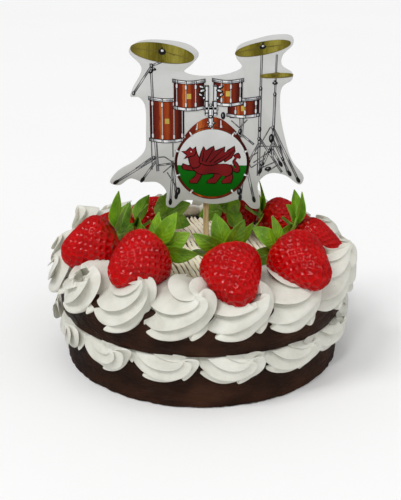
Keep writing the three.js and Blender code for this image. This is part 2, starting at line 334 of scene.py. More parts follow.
def speckle_group():
    """Two sizes of soft noise over a piece: one mask of large blotches, one of small grains."""
    group = bpy.data.node_groups.new("unevenness", "ShaderNodeTree")
    for name, kind, value in (("Blotch Size", "Float", 0.02), ("Grain Size", "Float", 0.002),
                              ("Stretch", "Vector", (1, 1, 1))):
        socket = group.interface.new_socket(
            name, in_out="INPUT", socket_type="NodeSocket" + kind)
        socket.default_value = value
    for name in ("Blotches", "Grains"):
        group.interface.new_socket(name, in_out="OUTPUT", socket_type="NodeSocketFloat")
    way_in = group.nodes.new("NodeGroupInput").outputs
    way_out = group.nodes.new("NodeGroupOutput")
    place = node(group, "TexCoord").outputs["Object"]
    stretched = node(group, "VectorMath", {0: place, 1: way_in["Stretch"]},
                     operation="MULTIPLY").outputs["Vector"]
    for size, result in (("Blotch Size", "Blotches"), ("Grain Size", "Grains")):
        cloud = node(group, "TexNoise", {
            "Vector": stretched, "Scale": sum_of(group, "DIVIDE", 1.0, way_in[size]),
            "Detail": 4.0, "Roughness": 0.55})
        connect(group, way_out, {result: cloud.outputs["Fac"]})


class Finish:
    """One finish in the making: its material, its shader and its blotch and grain masks."""

    def __init__(self, name, color, roughness, masks, **fixed):
        self.material = bpy.data.materials.new(name)
        self.material.use_nodes = True
        self.tree = self.material.node_tree
        self.blotches, self.grains = self.uneven(*masks)
        self.connect({"Base Color": (*color, 1), "Roughness": roughness})
        self.connect({key.replace("_", " "): value for key, value in fixed.items()})

    def connect(self, values):
        """Sets or links inputs of the shader."""
        connect(self.tree, self.tree.nodes["Principled BSDF"], values)

    def add(self, kind, values=None, **settings):
        return node(self.tree, kind, values, **settings)

    def uneven(self, blotch, grain, stretch=(1, 1, 1)):
        """The masks of blotches and grains, of these sizes."""
        return self.add("Group", {"Blotch Size": blotch, "Grain Size": grain, "Stretch": stretch},
                        node_tree=bpy.data.node_groups["unevenness"]).outputs

    def place(self, kind):
        """X, Y and Z in the piece itself (Object) or on its flat map (UV)."""
        return self.add("SeparateXYZ", {"Vector": self.add("TexCoord").outputs[kind]}).outputs

    def sum(self, operation, *values):
        return sum_of(self.tree, operation, *values)

    def ramp(self, source, *stops):
        """A colour ramp over a mask, from (place, colour) stops."""
        made = self.add("ValToRGB", {"Fac": source})
        while len(made.color_ramp.elements) < len(stops):
            made.color_ramp.elements.new(0.5)
        for element, (place, color) in zip(made.color_ramp.elements, stops):
            element.position = place
            element.color = (*color, 1)
        return made.outputs["Color"]

    def spread(self, source, low, high, start_at=0.0, end_at=1.0):
        """Spreads a mask over a range of values."""
        return self.add("MapRange", {"Value": source, "From Min": start_at, "From Max": end_at,
                                     "To Min": low, "To Max": high}).outputs["Result"]

    def blend(self, share, below, above, way="MIX"):
        return self.add("Mix", {"Factor": share, "A": below, "B": above},
                        data_type="RGBA", blend_type=way).outputs["Result"]

    def complete(self, color, gloss, *bumps):
        """Adds colour, a range of roughness over the grains, and bumps from the lowest up."""
        normal = None
        for height, distance, strength in bumps:
            values = {"Height": height, "Distance": distance, "Strength": strength}
            if normal is not None:
                values["Normal"] = normal
            normal = self.add("Bump", values).outputs["Normal"]
        self.connect({"Base Color": color, "Roughness": self.spread(self.grains, *gloss),
                      "Normal": normal})
        return self.material


def chocolate_finish():
    """Dark chocolate with blotches, smears along the side and crumbs."""
    made = Finish("chocolate", (0.02, 0.008, 0.004), 0.42, (0.03, 0.0035, (1, 1, 1.6)),
                  Specular_IOR_Level=0.22)
    color = made.ramp(made.blotches, (0.32, (0.017, 0.0056, 0.0020)),
                      (0.5, (0.030, 0.0095, 0.0033)), (0.68, (0.052, 0.018, 0.0068)))
    smears, crumbs = made.uneven(0.012, 0.0011, (1, 1, 4))
    return made.complete(color, (0.32, 0.52, 0.3, 0.7), (smears, 0.0026, 0.7),
                         (crumbs, 0.0002, 0.6))


def cream_finish():
    made = Finish("whipped cream", (0.76, 0.755, 0.69), 0.42, (0.014, 0.0012),
                  Subsurface_Weight=0.08, Subsurface_Scale=0.0025,
                  Subsurface_Radius=(1.0, 0.85, 0.65), Specular_IOR_Level=0.35,
                  Coat_Weight=0.1, Coat_Roughness=0.25)
    color = made.ramp(made.blotches, (0.3, (0.63, 0.622, 0.545)), (0.5, (0.71, 0.703, 0.625)),
                      (0.72, (0.77, 0.765, 0.695)))
    return made.complete(color, (0.36, 0.55, 0.3, 0.7), (made.grains, 0.00038, 0.6))


def ivory_finish():
    """Ivory ribbons, with the chocolate showing in the grooves between them."""
    made = Finish("ivory cream", (0.8, 0.72, 0.55), 0.5, (0.012, 0.0011))
    height = made.spread(made.place("Object")["Z"], 0.0, 1.0, 0.0697, 0.0722)
    color = made.ramp(
        made.sum("MULTIPLY_ADD", made.blotches, 0.35, height),
        (0.26, (0.07, 0.03, 0.012)), (0.38, (0.28, 0.15, 0.07)), (0.46, (0.80, 0.68, 0.45)),
        (0.62, (0.92, 0.85, 0.65)), (1.0, (0.94, 0.90, 0.76)))
    return made.complete(color, (0.4, 0.6), (made.grains, 0.0003, 0.6))


def strawberry_finish():
    """Glossy red skin with painted shade in its dimples, and a lighter seed in each of them that
    also serves as a painted glint.
    """
    made = Finish("strawberry skin", (0.5, 0.002, 0.004), 0.2, (0.015, 0.0016),
                  Coat_Weight=0.65, Coat_Roughness=0.07, Specular_IOR_Level=0.03)
    from_dimple = made.place("UV")["X"]
    red = made.ramp(made.blotches, (0.3, (0.34, 0.0002, 0.0008)), (0.55, (0.50, 0.0004, 0.0012)),
                    (0.8, (0.60, 0.001, 0.003)))
    # Painted shade: the red is darkened inside each dimple, most a little way out from its middle,
    # and left full on the ridges.
    deep = made.ramp(from_dimple, (0.16, (0.95, 0.9, 0.8)), (0.28, (0.78, 0.7, 0.7)),
                     (0.9, (1, 1, 1)))
    # The seed at each dimple's middle is real, but its lighter orange also stands in as a painted
    # glint.
    seed = made.spread(from_dimple, 0.3, 0.0, 0.1, 0.24)
    color = made.blend(seed, made.blend(1.0, red, deep, "MULTIPLY"), (0.60, 0.05, 0.012, 1))
    return made.complete(color, (0.14, 0.28, 0.3, 0.7), (seed, 0.0002, 0.6),
                         (made.grains, 0.00012, 0.5))


def leaf_finish():
    """Green blades with a pale midrib, side veins and a painted highlight along the edge, drawn
    along their own map.
    """
    made = Finish("strawberry leaf", (0.07, 0.24, 0.015), 0.35, (0.011, 0.0015),
                  Coat_Weight=0.25, Coat_Roughness=0.25)
    place = made.place("UV")
    from_rib = made.sum("ABSOLUTE", made.sum("SUBTRACT", place["X"], 0.5))
    rib = made.spread(from_rib, 1.0, 0.0, 0.015, 0.05)
    # Painted highlight: the blade is made paler towards its edge.
    edge = made.spread(from_rib, 0.0, 1.0, 0.44, 0.5)
    slant = made.sum("MULTIPLY_ADD", from_rib, -0.55, place["Y"])
    veins = made.sum("SINE", made.sum("MULTIPLY", slant, 50.0))
    green = made.ramp(made.blotches, (0.28, (0.06, 0.16, 0.002)), (0.5, (0.15, 0.335, 0.005)),
                      (0.72, (0.29, 0.52, 0.012)))
    # The midrib is truly paler; the paler edge is painted highlight.
    pale = made.sum("MULTIPLY", made.sum("MAXIMUM", rib, edge), 0.45)
    color = made.blend(pale, green, (0.26, 0.46, 0.05, 1))
    return made.complete(color, (0.28, 0.48, 0.3, 0.7), (veins, 0.00012, 0.6),
                         (rib, 0.0003, 0.7))


def stalk_finish():
    made = Finish("leaf stalk", (0.2, 0.34, 0.05), 0.4, (0.006, 0.0009),
                  Coat_Weight=0.2, Coat_Roughness=0.3)
    color = made.ramp(made.blotches, (0.3, (0.10, 0.22, 0.02)), (0.6, (0.25, 0.40, 0.06)),
                      (0.8, (0.42, 0.48, 0.13)))
    return made.complete(color, (0.32, 0.5), (made.grains, 0.0002, 0.5))


def wood_finish():
    made = Finish("pale wood", (0.62, 0.44, 0.24), 0.6, (0.0011, 0.0004, (1, 1, 0.05)))
    color = made.ramp(made.blotches, (0.3, (0.42, 0.27, 0.12)), (0.5, (0.60, 0.43, 0.22)),
                      (0.7, (0.72, 0.56, 0.33)))
    return made.complete(color, (0.5, 0.7), (made.blotches, 0.00015, 0.6))


def plain_ink(name, color, uneven):
    """Printed card in one ink, uneven by some share, with faint paper grain."""
    made = Finish(name, color, 0.42, (0.02, 0.0006), Specular_IOR_Level=0.15)
    dark, light = ([min(1.0, max(0.0, c * (1 + side * 2 * uneven))) for c in color]
                   for side in (-1, 1))
    return made.complete(made.ramp(made.blotches, (0.3, dark), (0.7, light)), (0.36, 0.5),
                         (made.grains, 0.00005, 0.4))


def banded_ink(name, along, streaks, bands):
    """An ink that changes across a shape's own map, as the picture of a round thing does."""
    made = Finish(name, bands[0][1], 0.36, (0.004, 0.0006, (3, 3, 0.6)),
                  Specular_IOR_Level=0.2)
    shifted = made.sum("SUBTRACT", made.blotches, 0.5)
    across = made.sum("MULTIPLY_ADD", shifted, streaks, made.place("UV")[along])
    return made.complete(made.ramp(across, *bands), (0.31, 0.44), (made.grains, 0.00004, 0.4))


# ---- chocolate layers -------------------------------------------------------------------

# The heights of a layer's rings above its underside, close together at the foot, and its
# shoulder: how far each ring stands in from the side and lies below the top.
LAYER_RINGS = [0, 0.5, 1.1, 1.8, 2.6, 3.5, 4.6] + [6 + 1.5 * i for i in range(13)] + [25.3]
SHOULDER = [(0.15, 3.8), (0.45, 2.7), (0.95, 1.7), (1.6, 0.9), (2.5, 0.35), (3.6, 0.1), (5, 0)]
LAYER = dict(sides=320, undercut=1.0, rim=12, bulge=0.55, foot=4, brow=4)
# The coat's unevenness, from broad to fine: how deep, how fine round and how fine upwards.
SMEARS = [(1.5, 18, 26), (0.45, 70, 110)]
# What is broken out of a ragged foot: how deep, how fine, and how much of it is left whole.
CHIPS = [(0.55, 95, 0.1), (0.3, 310, 0.0)]
FILLING = dict(bottom=30.3, top=37.7, sides=140, edge=80, wave=1.6, inward=0.4)
INWARD_RINGS = (0.9, 0.75, 0.5, 0.25)          # shares of the radius, over a flat end


def stacked_round(name, rings, sides):
    """A round solid built upwards from its underside: each ring is a radius and a height."""
    wide, low = rings[0]
    bpy.ops.mesh.primitive_circle_add(vertices=sides, radius=wide * MM, fill_type="NOTHING")
    piece = start(name, low * MM)
    for next_wide, high in rings[1:]:
        draw_out(z=(high - low) * MM)
        swell(next_wide / wide)
        wide, low = next_wide, high
    return piece


def close_round(piece, bottom, top):
    """Closes both ends of a stack of rings with rings drawn in to a point."""
    for height in (top, bottom):
        choose_height(height * MM)
        for share in INWARD_RINGS:
            draw_out()
            mesh = bmesh.from_edit_mesh(piece.data)
            reach = max(p.co.xy.length for p in mesh.verts if p.select)
            full = max(p.co.xy.length for p in mesh.verts)
            swell(share * full / reach)
        close_to_point(height * MM)
    return close_up(piece)


def chocolate_layer(name, radius, bottom, top, seed, ragged):
    """One cake layer under a smeared coat of chocolate, its foot ragged where it was cut."""
    rings = [(radius - (0 if height else LAYER["undercut"]), bottom + height)
             for height in LAYER_RINGS]
    rings += [(radius - inward, top - below) for inward, below in SHOULDER]
    piece = close_round(stacked_round(name, rings, LAYER["sides"]), bottom, top)
    foot = LAYER["foot"]
    for point in piece.data.vertices:
        x, y, z = point.co
        if point.co.xy.length >= (radius - LAYER["rim"]) * MM:
            smears = [uneven_at(x * fine + seed, y * fine, z * fine_up)
                      for _, fine, fine_up in SMEARS]
            change = sum(deep[0] * smear for deep, smear in zip(SMEARS, smears))
            above = z / MM - bottom
            if ragged and above < foot:
                change -= (foot - above) * sum(
                    deep * max(0.0, uneven_at(x * fine, y * fine, seed) - whole)
                    for deep, fine, whole in CHIPS)
            point.co += Vector((x, y, 0)).normalized() * min(change, LAYER["bulge"]) * MM
            if above > top - bottom - LAYER["brow"]:
                point.co.z += 0.5 * (smears[0] - 0.4) * MM
        point.co.z = min(max(point.co.z, bottom * MM), top * MM)
    return smooth(piece)


def filling_disc():
    """The cream between the layers, pressed out unevenly at its edge."""
    bottom, top = FILLING["bottom"], FILLING["top"]
    rings = [(97, bottom), (98, 31.5), (98, 34), (98, 36.5), (97, top)]
    piece = stacked_round("cream_filling", rings, FILLING["sides"])
    for point in close_round(piece, bottom, top).data.vertices:
        flat = Vector((point.co.x, point.co.y, 0))
        if flat.length > FILLING["edge"] * MM:
            wave = FILLING["wave"] * uneven_at(flat.x * 60, flat.y * 60, point.co.z * 200)
            point.co += flat.normalized() * (wave - FILLING["inward"]) * MM
    return smooth(piece)


# ---- combed cream on top ----------------------------------------------------------------

COMB = dict(radius=75.5, pitch=3.5, lean=17, bottom=68.3, valley=69.6, crest=72.3,
            cells=(208, 60), spare=6)


def combed_top():
    """Ivory cream combed into wavy ribbons from the back left to the front right."""
    bpy.ops.mesh.primitive_grid_add(
        x_subdivisions=COMB["cells"][0], y_subdivisions=COMB["cells"][1],
        size=(2 * COMB["radius"] + COMB["spare"]) * MM)
    piece = start("combed_cream")
    lean = math.radians(COMB["lean"])
    bpy.ops.transform.rotate(value=-lean, orient_axis="Z", center_override=(0, 0, 0))
    side = Vector((math.cos(lean), math.sin(lean), 0))
    ahead = Vector((-math.sin(lean), math.cos(lean), 0))

    def comb(co, _):
        u, v = co.dot(side) / MM, co.dot(ahead) / MM
        bend = 2.2 * uneven_at(u * 0.02, v * 0.035, 3) - 0.0016 * max(0, u - 25) * v
        phase = (u + bend + 1.1 * uneven_at(u * 0.2, v * 0.07, 7)) / COMB["pitch"]
        ridge = 0.5 + 0.5 * math.cos(2 * math.pi * phase)
        broken = 0.5 + 0.9 * uneven_at(math.floor(phase) * 1.7, v * 0.07, 1)
        height = ridge ** 0.6 * min(1.0, max(0.12, 0.55 + broken))
        height = min(1.0, height + 0.35 * uneven_at(u * 0.2, v * 0.2, 5) * ridge)
        return co.x, co.y, (COMB["valley"] + (COMB["crest"] - COMB["valley"]) * height) * MM

    move_points(comb)
    choose(lambda co: co.xy.length > COMB["radius"] * MM)
    bpy.ops.mesh.delete(type="VERT")
    bpy.ops.mesh.select_all(action="SELECT")
    draw_out()
    move_points(lambda co, i: (co.x, co.y, COMB["bottom"] * MM), chosen=True)
    return smooth(close_up(piece), 80)


# ---- piped swirls -----------------------------------------------------------------------

PETALS = 5
# One petal from where it is tucked under the lip before it to its own lip: how far round
# the petal, and how much of its tuck is left there.
PETAL = [(-0.06, 1.0), (0.03, 1.0), (0.15, 0.96), (0.30, 0.86), (0.45, 0.73), (0.60, 0.56),
         (0.74, 0.36), (0.86, 0.16), (0.95, -0.02), (1.00, -0.08)]
# From under the skirt to the crown: the share of the radius, the share of the crown's
# height, how deep the petals are tucked, and how far the lips have turned (share of sweep).
SKIRT = [(0.48, -0.30, -0.06, 0.0), (0.70, -0.26, -0.12, 0.0), (0.83, -0.16, -0.18, 0.0),
         (0.88, -0.05, -0.21, 0.01), (0.90, 0.04, -0.08, 0.03), (0.91, 0.15, 0.14, 0.08),
         (0.90, 0.29, 0.35, 0.15), (0.87, 0.43, 0.46, 0.24), (0.82, 0.57, 0.50, 0.34),
         (0.74, 0.70, 0.52, 0.45), (0.64, 0.81, 0.52, 0.57), (0.53, 0.90, 0.51, 0.69)]
CLOSED = SKIRT + [(0.42, 0.97, 0.50, 0.81), (0.31, 1.04, 0.48, 0.92), (0.20, 1.10, 0.42, 1.02),
                  (0.10, 1.12, 0.3, 1.1)]
HOLLOW = SKIRT + [(0.47, 0.97, 0.47, 0.79), (0.43, 1.0, 0.42, 0.87), (0.37, 0.88, 0.38, 0.95),
                  (0.29, 0.62, 0.32, 1.02), (0.18, 0.5, 0.3, 1.1), (0.09, 0.66, 0.3, 1.16)]
PEAKED = SKIRT + [(0.43, 0.99, 0.50, 0.80), (0.34, 1.10, 0.47, 0.91), (0.25, 1.22, 0.42, 1.01),
                  (0.16, 1.34, 0.34, 1.12), (0.07, 1.44, 0.2, 1.22)]

# The name, stations, crown's end and sweep in degrees of each kind of swirl.
SWIRLS = [("closed swirl", CLOSED, 1.06, 132), ("hollow swirl", HOLLOW, 0.8, 140),
          ("peaked swirl", PEAKED, 1.5, 146)]
# The two rings of swirls. Each swirl's kind follows the list in kinds, round and round.
RIMS = {
    "rosette": dict(count=16, first=12.5, reach=90.5, height=67.5, tilt=39, radius=25, crown=18,
                    squash=1, seed=5, drag=0.42, roomy=1.0, kinds=(1, 0, 2, 0, 0, 1, 2, 0)),
    "ruffle": dict(count=14, first=11.3, reach=96, height=35, tilt=74, radius=24, crown=10,
                   squash=0.78, seed=3, drag=0.45, roomy=1.02, kinds=(0, 0, 1, 0)),
}
# How much one swirl differs from the next, as shares or degrees, and its small lumps (m).
STRAY = dict(radius=0.05, crown=0.1, tilt=1.5, drag=0.35, width=0.05, wander=0.12)
LUMPS = dict(size=0.014, strength=0.0022)
CREAM_LIMIT = 111.0               # how far out any cream may reach
RUFFLE_TOP = 37.5                 # above this the upper layer presses the ruffles flat,
PRESSED = 0.8                     # by this share of what stands above it


def swirl_model(name, stations, end, sweep):
    """One piped swirl of unit radius and unit crown, drawn up ring by ring from its skirt."""
    bpy.ops.mesh.primitive_circle_add(
        vertices=PETALS * len(PETAL), radius=1, fill_type="NOTHING")
    piece = start(name)
    for order, (share, rise, tuck, turned) in enumerate(stations):
        def petal_edge(_, i):
            petal, step = divmod(i, len(PETAL))
            along, left = PETAL[step]
            reach = share * (1 - tuck * left)
            angle = (petal + along) * 2 * math.pi / PETALS + math.radians(sweep) * turned
            return reach * math.cos(angle), reach * math.sin(angle), rise

        if order > 0:
            draw_out()
        move_points(petal_edge, chosen=True)
    close_to_point(end)
    foot = stations[0][1]
    choose_height(foot, slack=1e-6)
    close_to_point(foot + 0.02)
    return close_up(piece)


def keep_within(piece, limit):
    """Draws in whatever reaches too far out."""
    for point in piece.data.vertices:
        out = point.co.xy.length
        if out > limit * MM:
            point.co.x *= limit * MM / out
            point.co.y *= limit * MM / out


def dress_rim(kind, spec, models, cream):
    """A ring of swirls round the cake, each a copy of one model, sized and turned by itself.

    The nozzle was drawn away to the right as it stopped, so each crown is dragged that way.
    """
    draw = seeded_random(spec["seed"])
    extra = seeded_random(spec["seed"] + 40)
    swirls = []
    for k in range(spec["count"]):
        radius = spec["radius"] * vary(draw, STRAY["radius"]) * spec["roomy"]
        crown = spec["crown"] * vary(draw, STRAY["crown"])
        tilt = vary(draw, STRAY["tilt"], middle=spec["tilt"])
        spin = 360 * draw()
        wander = vary(extra, STRAY["wander"], middle=0)
        drag = spec["drag"] * vary(extra, STRAY["drag"])
        wide = vary(extra, STRAY["width"])
        model = models[spec["kinds"][k % len(spec["kinds"])]]
        piece = settle(copy_of(model, f"piped_{kind}_{k + 1:02d}"), turn=(0, 0, spin))
        for point in piece.data.vertices:
            lift = max(0.0, point.co.z)
            point.co.x = wide * point.co.x + drag * lift ** 1.3
            point.co.y += wander * lift ** 2
        settle(piece, turn=(tilt, 0, 0), place=(0, -spec["reach"], spec["height"]),
               scale=(radius, radius * spec["squash"], crown))
        settle(piece, turn=(0, 0, spec["first"] + 360 / spec["count"] * k))
        swirls.append(piece)
    for k, piece in enumerate(swirls):
        if kind == "ruffle":
            for point in piece.data.vertices:
                over = max(0.0, point.co.z / MM - RUFFLE_TOP)
                point.co.z -= PRESSED * over * MM
        lump(piece, **LUMPS)
        keep_within(piece, CREAM_LIMIT)
        subdivide(piece, 2)
        keep_within(piece, CREAM_LIMIT)
        hand_over(paint(smooth(piece), cream), "cream", f"{kind}_{k + 1:02d}")


# ---- strawberries -----------------------------------------------------------------------

BERRY = dict(waist=0.42, widest=0.3, blunt=0.86, taper=0.68, dimples=240, depth=0.034)
# Each berry: its waist's place (degrees round, reach, height), where its tip points and how
# far it dips, its length and width, its stalk's lean and its leaves (direction, length).
BERRIES = [
    (13, 86.5, 88.6, 15, 27, 43, 40, 10,
     [(-62, 22), (-14, 24), (34, 22), (66, 25), (112, 24), (-122, 22)]),
    (44, 92, 89.3, 33, 9, 46, 39, -40, [(-50, 24), (-5, 20), (48, 22), (100, 22), (-118, 22)]),
    (80, 82, 84.4, 80, 32, 42, 29, -60, [(-100, 24), (-50, 27), (-8, 25), (34, 24)]),
    (111, 64, 87, 102, 18, 41, 32, 60, [(-100, 22), (-46, 21), (-8, 25), (28, 23)]),
    (150, 52, 90.4, 152, 10, 42, 38, 20, [(-120, 20), (-62, 20), (0, 22), (58, 20), (112, 18)]),
    (-131, 50, 87.4, -140, 10, 37, 29, -30,
     [(-118, 18), (-62, 19), (-12, 22), (34, 24), (124, 20)]),
    (-90, 64, 87.4, -96, 10, 40, 29, 30, [(-44, 24), (34, 25), (76, 21), (118, 18)]),
    (-63.5, 81.5, 89.4, -86, 22, 41, 40, 50, [(-96, 22), (-52, 24), (-14, 28), (26, 28)]),
    (-30, 81, 90.9, -40, 12, 42, 40, 60, [(-68, 22), (-20, 22), (24, 27), (60, 22), (97, 25)]),
]


def berry_frame(at, reach, height, turn, dip):
    """Where a berry lies: local +Z runs to its tip and local +Y is its upper side."""
    yaw, pitch, round_by = math.radians(turn), math.radians(dip), math.radians(at)
    tip = Vector((math.sin(yaw) * math.cos(pitch), -math.cos(yaw) * math.cos(pitch),
                  -math.sin(pitch)))
    side = Vector((math.cos(yaw), math.sin(yaw), 0))
    up = tip.cross(side)
    frame = Matrix((side, up, tip)).transposed().to_4x4()
    frame.translation = Vector((reach * math.sin(round_by), -reach * math.cos(round_by),
                                height)) * MM
    return frame


def berry_half_width(share):
    widest, blunt, taper = BERRY["widest"], BERRY["blunt"], BERRY["taper"]
    if share < widest:
        return 0.5 * math.sqrt(max(0.0, 1 - ((widest - share) / widest) ** 2.2))
    along = (share - widest) / (1 - widest)
    rounding = math.sqrt(max(0.0, 1 - max(0.0, (share - blunt) / (1 - blunt)) ** 2))
    return 0.5 * (1 - taper * along ** 1.5) * rounding


def dimple_places():
    """The middles of the dimples, which run round a berry in spirals."""
    shares = [(i + 0.5) / 400 for i in range(400)]
    reaches = [berry_half_width(share) + 0.02 for share in shares]
    whole = sum(reaches)
    places, passed, k = [], 0.0, 0
    for share, reach in zip(shares, reaches):
        passed += reach
        while passed / whole > (k + 0.5) / BERRY["dimples"]:
            turn = k * math.radians(137.508)
            half = berry_half_width(share)
            places.append(Vector((half * math.cos(turn), half * math.sin(turn),
                                  share - BERRY["waist"])))
            k += 1
    return places


def press_dimples(piece):
    """Presses the dimples in, and maps the skin by the distance from the nearest one."""
    places = dimple_places()
    tree = kdtree.KDTree(len(places))
    for i, place in enumerate(places):
        tree.insert(place, i)
    tree.balance()
    away = []
    for point in piece.data.vertices:
        near, next_near = (found[2] for found in tree.find_n(point.co, 2))
        share = near / max(1e-6, (near + next_near) / 2)
        away.append(share)
        depth = BERRY["depth"] * (0.5 - share ** 2)
        point.co -= (point.co - Vector((0, 0, -0.05))).normalized() * depth
    map_out(piece, lambda number: (away[number], 0.5))


def berry_model():
    """One strawberry of unit width and length, shaped from a globe, its dimples pressed in."""
    bpy.ops.mesh.primitive_uv_sphere_add(segments=44, ring_count=26, radius=0.5)
    piece = start("strawberry")

    def skin(co, _):
        share = min(1.0, max(0.0, 0.5 + co.z))
        flat = co.xy
        if flat.length > 1e-6:
            flat = flat.normalized() * berry_half_width(share)
        return flat.x, flat.y, share - BERRY["waist"]

    move_points(skin)
    subdivide(close_up(piece), 2)
    press_dimples(piece)
    return piece


def strawberry(model, number, spec):
    at, reach, height, turn, dip, length, width, _, _ = spec
    piece = settle(copy_of(model, f"red_berry_{number}"), turn=(0, 0, 67 * number))
    settle(piece, scale=(width, width * 0.985, length))
    for point in piece.data.vertices:
        spot = point.co * 55 + Vector((number * 3.1, 0, 0))
        point.co *= 1 + 0.05 * noise.noise(spot)
        point.co -= point.co.normalized() * 0.3 * MM * noise.noise(point.co * 130)
    piece.matrix_world = berry_frame(at, reach, height, turn, dip)
    return smooth(settle(piece))


# ---- leaves -----------------------------------------------------------------------------

LEAF = dict(width=13.5, fold=0.22, curl=0.2, root=2.4, thick=0.55)
LEAF_LEAN = (12, 21)              # degrees, every other leaf
LEAF_SET = (0.5, 0.85)            # how far behind the berry, every other leaf
LEAF_ROLL = {2: -30, 3: -30, 7: 30, 8: 35}     # degrees, by berry
# Half the width of a leaf along its length, as a share of its full half width.
LEAF_EDGE = [(0, 0.12), (0.08, 0.42), (0.18, 0.74), (0.3, 0.95), (0.42, 1.0), (0.55, 0.96),
             (0.68, 0.82), (0.8, 0.58), (0.9, 0.32), (0.96, 0.14), (1, 0.02)]
# The stalk from the berry backwards: its radius and its distance.
STALK = [(3.4, 0.0), (3.0, 0.9), (2.0, 1.9), (1.5, 3.2), (1.35, 5.2), (1.25, 7.6), (1.2, 10.0),
         (1.3, 12.4)]


def leaf_model():
    """A pointed blade of unit length and unit width along +Y, with its own map."""
    steps = len(LEAF_EDGE) - 1
    bpy.ops.mesh.primitive_grid_add(x_subdivisions=6, y_subdivisions=steps, size=1)
    piece = start("leaf")

    def blade(co, _):
        along, half = LEAF_EDGE[round((co.y + 0.5) * steps)]
        return co.x * half, along, 0

    move_points(blade)
    let_go()
    return piece


def leaf_blade(model, length, order, roll):
    """One leaf: folded up along its midrib, curled back, wavy and rolled to one side."""
    piece = copy_of(model, "leaf")
    for point in piece.data.vertices:
        x, along = point.co.x * LEAF["width"], point.co.y
        wavy = 0.6 * math.sin(along * 9 + order * 1.7) * (abs(x) / (LEAF["width"] / 2)) ** 2
        lift = LEAF["fold"] * abs(x) + wavy
        turn = math.radians(roll) * min(1.0, 3 * along)
        aside = x * math.cos(turn) - lift * math.sin(turn) + 0.6 * math.sin(along * 3 + order)
        raised = x * math.sin(turn) + lift * math.cos(turn) - LEAF["curl"] * length * along ** 2
        point.co = Vector((aside, length * along, raised)) * MM
    alter(piece, "SOLIDIFY", thickness=LEAF["thick"] * MM, offset=-1)
    return subdivide(piece, 1)


def stalk_model(base, lean):
    """A stalk drawn out backwards from its hub, bending more and more to one side."""
    bpy.ops.mesh.primitive_circle_add(vertices=14, radius=STALK[0][0] * MM, fill_type="NGON")
    piece = start("stalk", base)
    bpy.ops.mesh.inset(thickness=0.3 * MM)
    for (wide, back), (next_wide, next_back) in zip(STALK, STALK[1:]):
        step = next_back - back
        aside = 0.45 * max(0.0, next_back - 2) * step / 6
        draw_out(aside * math.sin(lean) * MM, aside * math.cos(lean) * MM, -step * MM)
        mesh = bmesh.from_edit_mesh(piece.data)
        ring = [point.co for point in mesh.verts if point.select]
        swell(next_wide / wide, centre=sum(ring, Vector()) / len(ring))
    bpy.ops.mesh.inset(thickness=0.25 * MM)
    return subdivide(close_up(piece), 1)


def leaf_crown(model, number, spec, leaf_paint, stalk_paint):
    """The leaves and stalk behind one strawberry."""
    at, reach, height, turn, dip, length, _, lean, leaves = spec
    base = -(BERRY["waist"] * length + 0.3)
    parts = []
    for i, (direction, size) in enumerate(leaves):
        blade = leaf_blade(model, size, i + number, LEAF_ROLL.get(number, 0))
        settle(blade, place=(0, LEAF["root"], 0))
        settle(blade, turn=(-LEAF_LEAN[i % 2], 0, 0))
        settle(blade, turn=(0, 0, -direction), place=(0, 0, base - LEAF_SET[i % 2]))
        parts.append(paint(blade, leaf_paint))
    parts.append(paint(stalk_model(base * MM, math.radians(lean)), stalk_paint))
    crown = join(f"berry_leaves_{number}", parts)
    crown.matrix_world = berry_frame(at, reach, height, turn, dip)
    return smooth(settle(crown), 50)


# ---- topper card ------------------------------------------------------------------------

# The card's edge as it is seen from the front, in mm: X and Z, clockwise from the left.
CARD_EDGE = [
    (-49, 215), (-43, 221), (-27, 222.5), (-8, 219), (-2, 213), (-7, 206), (-12, 201.5),
    (-6, 199), (8, 198.5), (20, 200.5), (27, 204.5), (23, 211), (24, 218), (36, 223), (50, 225.9),
    (60, 224.9), (61, 220), (54, 212), (54, 205.5), (61, 200.5), (61, 196), (54.5, 191),
    (53.5, 176), (57, 157), (63, 139), (71.5, 127), (69, 122), (58, 129), (47, 130),
    (39.5, 123), (41, 111), (40.5, 104.5), (35.5, 104.5), (28, 111), (17, 108.6), (6, 107.7),
    (-6, 110.4), (-14, 110), (-20, 105), (-25, 106.5), (-25, 117), (-31, 123.5), (-42, 124),
    (-50, 126.5), (-58, 121.6), (-64.5, 123.5), (-59, 131.5), (-46, 139.5), (-39.5, 147),
    (-38.5, 160), (-39, 179), (-43, 184), (-48.5, 184.5), (-47, 190), (-40.5, 204),
]
FRONT = -1.0                      # the card's front face, in Y
CARD_THICK = 2.0
INK_STEP = 0.03                   # how far each layer of ink lies in front of the one below
INK_THICK = 0.012


def smooth_edge(points, steps):
    """Points along a smooth closed line through the given ones."""
    line = []
    count = len(points)
    for i in range(count):
        p0, p1, p2, p3 = (Vector(points[(i + k - 1) % count]) for k in range(4))
        t1 = (p1 - p0).length ** 0.5
        t2 = t1 + (p2 - p1).length ** 0.5
        t3 = t2 + (p3 - p2).length ** 0.5
        for step in range(steps):
            t = t1 + (t2 - t1) * step / steps
            a1 = p0 * ((t1 - t) / t1) + p1 * (t / t1)
            a2 = p1 * ((t2 - t) / (t2 - t1)) + p2 * ((t - t1) / (t2 - t1))
            a3 = p2 * ((t3 - t) / (t3 - t2)) + p3 * ((t - t2) / (t3 - t2))
            b1 = a1 * ((t2 - t) / t2) + a2 * (t / t2)
            b2 = a2 * ((t3 - t) / (t3 - t1)) + a3 * ((t - t1) / (t3 - t1))
            line.append(b1 * ((t2 - t) / (t2 - t1)) + b2 * ((t - t1) / (t2 - t1)))
    return line


def flat_shape(name, points, y):
    """A filled shape facing the front, at this depth, from (x, z) points in millimetres."""
    bpy.ops.mesh.primitive_circle_add(vertices=len(points), radius=1, fill_type="NGON")
    piece = start(name)
    move_points(lambda _, i: Vector((points[i][0], y, points[i][1])) * MM)
    return piece


